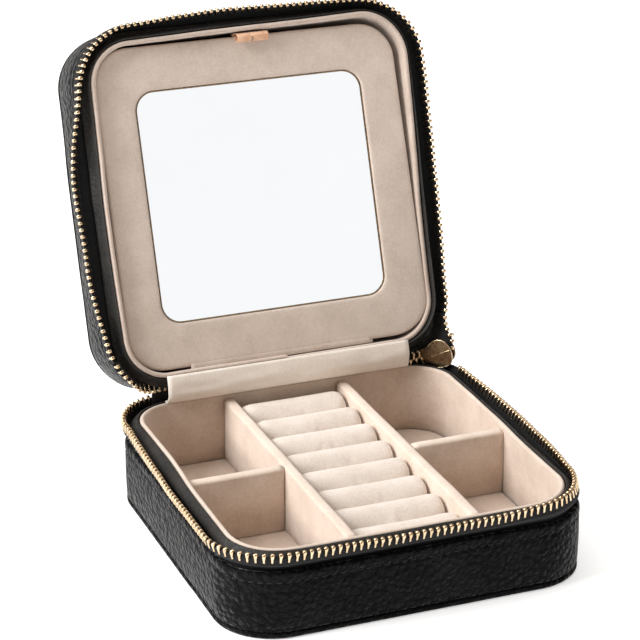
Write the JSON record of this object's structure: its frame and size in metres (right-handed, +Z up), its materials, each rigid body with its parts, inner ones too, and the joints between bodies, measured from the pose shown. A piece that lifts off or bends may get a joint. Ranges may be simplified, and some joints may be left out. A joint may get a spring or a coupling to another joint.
{
  "type": "travel jewelry case",
  "caption": "Square zip-round travel jewelry case, open, with a suede-lined tray, padded ring rolls, divided compartments and a mirror flap in the lid.",
  "frame": {"origin": "middle of the base's underside", "axes": "+X to the case's right, +Y to its hinged back, +Z up"},
  "size_m": [0.1175, 0.1718, 0.1419],
  "materials": {
    "leather": "pebbled, satin",
    "collar_leather": "fine grain, satin",
    "zip_tape": "woven, matte",
    "pale_gold": "polished",
    "antique_gold": "darkened, satin",
    "suede": "microsuede, matte",
    "satin_ribbon": "satin",
    "mirror": "polished"
  },
  "bodies": {
    "base": {"base_bottom_panel": "leather", "base_side_wall": "leather", "base_zip_tape": "zip_tape", "base_zip_teeth": "pale_gold", "base_collar": "collar_leather", "tray_lining_wall": "suede", "tray_floor": "suede", "divider_left": "suede", "divider_right": "suede", "cross_divider_left": "suede", "cross_divider_right": "suede", "ring_roll_bed": "suede", "ring_roll_1": "suede", "ring_roll_2": "suede", "ring_roll_3": "suede", "ring_roll_4": "suede", "ring_roll_5": "suede", "ring_roll_6": "suede", "ring_roll_7": "suede", "ring_roll_8": "suede", "inner_hinge_cloth": "suede", "outer_spine": "leather"},
    "lid": {"lid_top_panel": "leather", "lid_side_wall": "leather", "lid_zip_tape": "zip_tape", "lid_zip_teeth": "pale_gold", "lid_collar": "collar_leather", "lid_lining_wall": "suede", "lid_lining_back": "suede", "flap_hinge_strip": "suede"},
    "mirror_flap": {"flap_frame": "suede", "flap_board": "suede", "mirror_glass": "mirror", "ribbon_loop": "satin_ribbon"},
    "zip_slider": {"zip_slider_body": "antique_gold"},
    "pull_ring": {"zip_pull_ring": "antique_gold"},
    "zip_pull": {"zip_pull": "antique_gold"}
  },
  "joints": [
    {"name": "lid_hinge", "type": "hinge", "parent": "base", "child": "lid", "pos_m": [0, 0.0539, 0.0346], "axis": [-1, 0, 0], "range_deg": [-110, 0], "deforming": ["inner_hinge_cloth", "outer_spine"]},
    {"name": "mirror_flap_hinge", "type": "hinge", "parent": "lid", "child": "mirror_flap", "pos_m": [0, 0.05323, 0.03772], "axis": [1, 0, 0], "range_deg": [0, 70], "deforming": ["flap_hinge_strip"]},
    {"name": "zip_slider_travel", "type": "hinge", "parent": "base", "child": "zip_slider", "pos_m": [0.0388, 0.0393, 0.02925], "axis": [0, 0, 1], "range_deg": [-40, 0]},
    {"name": "pull_ring_swing", "type": "hinge", "parent": "zip_slider", "child": "pull_ring", "pos_m": [0.05716, 0.05364, 0.02925], "axis": [0.6157, -0.788, 0], "range_deg": [-5, 100]},
    {"name": "zip_pull_swing", "type": "hinge", "parent": "pull_ring", "child": "zip_pull", "pos_m": [0.05716, 0.05364, 0.02642], "axis": [0.788, 0.6157, 0], "range_deg": [-45, 45]}
  ]
}
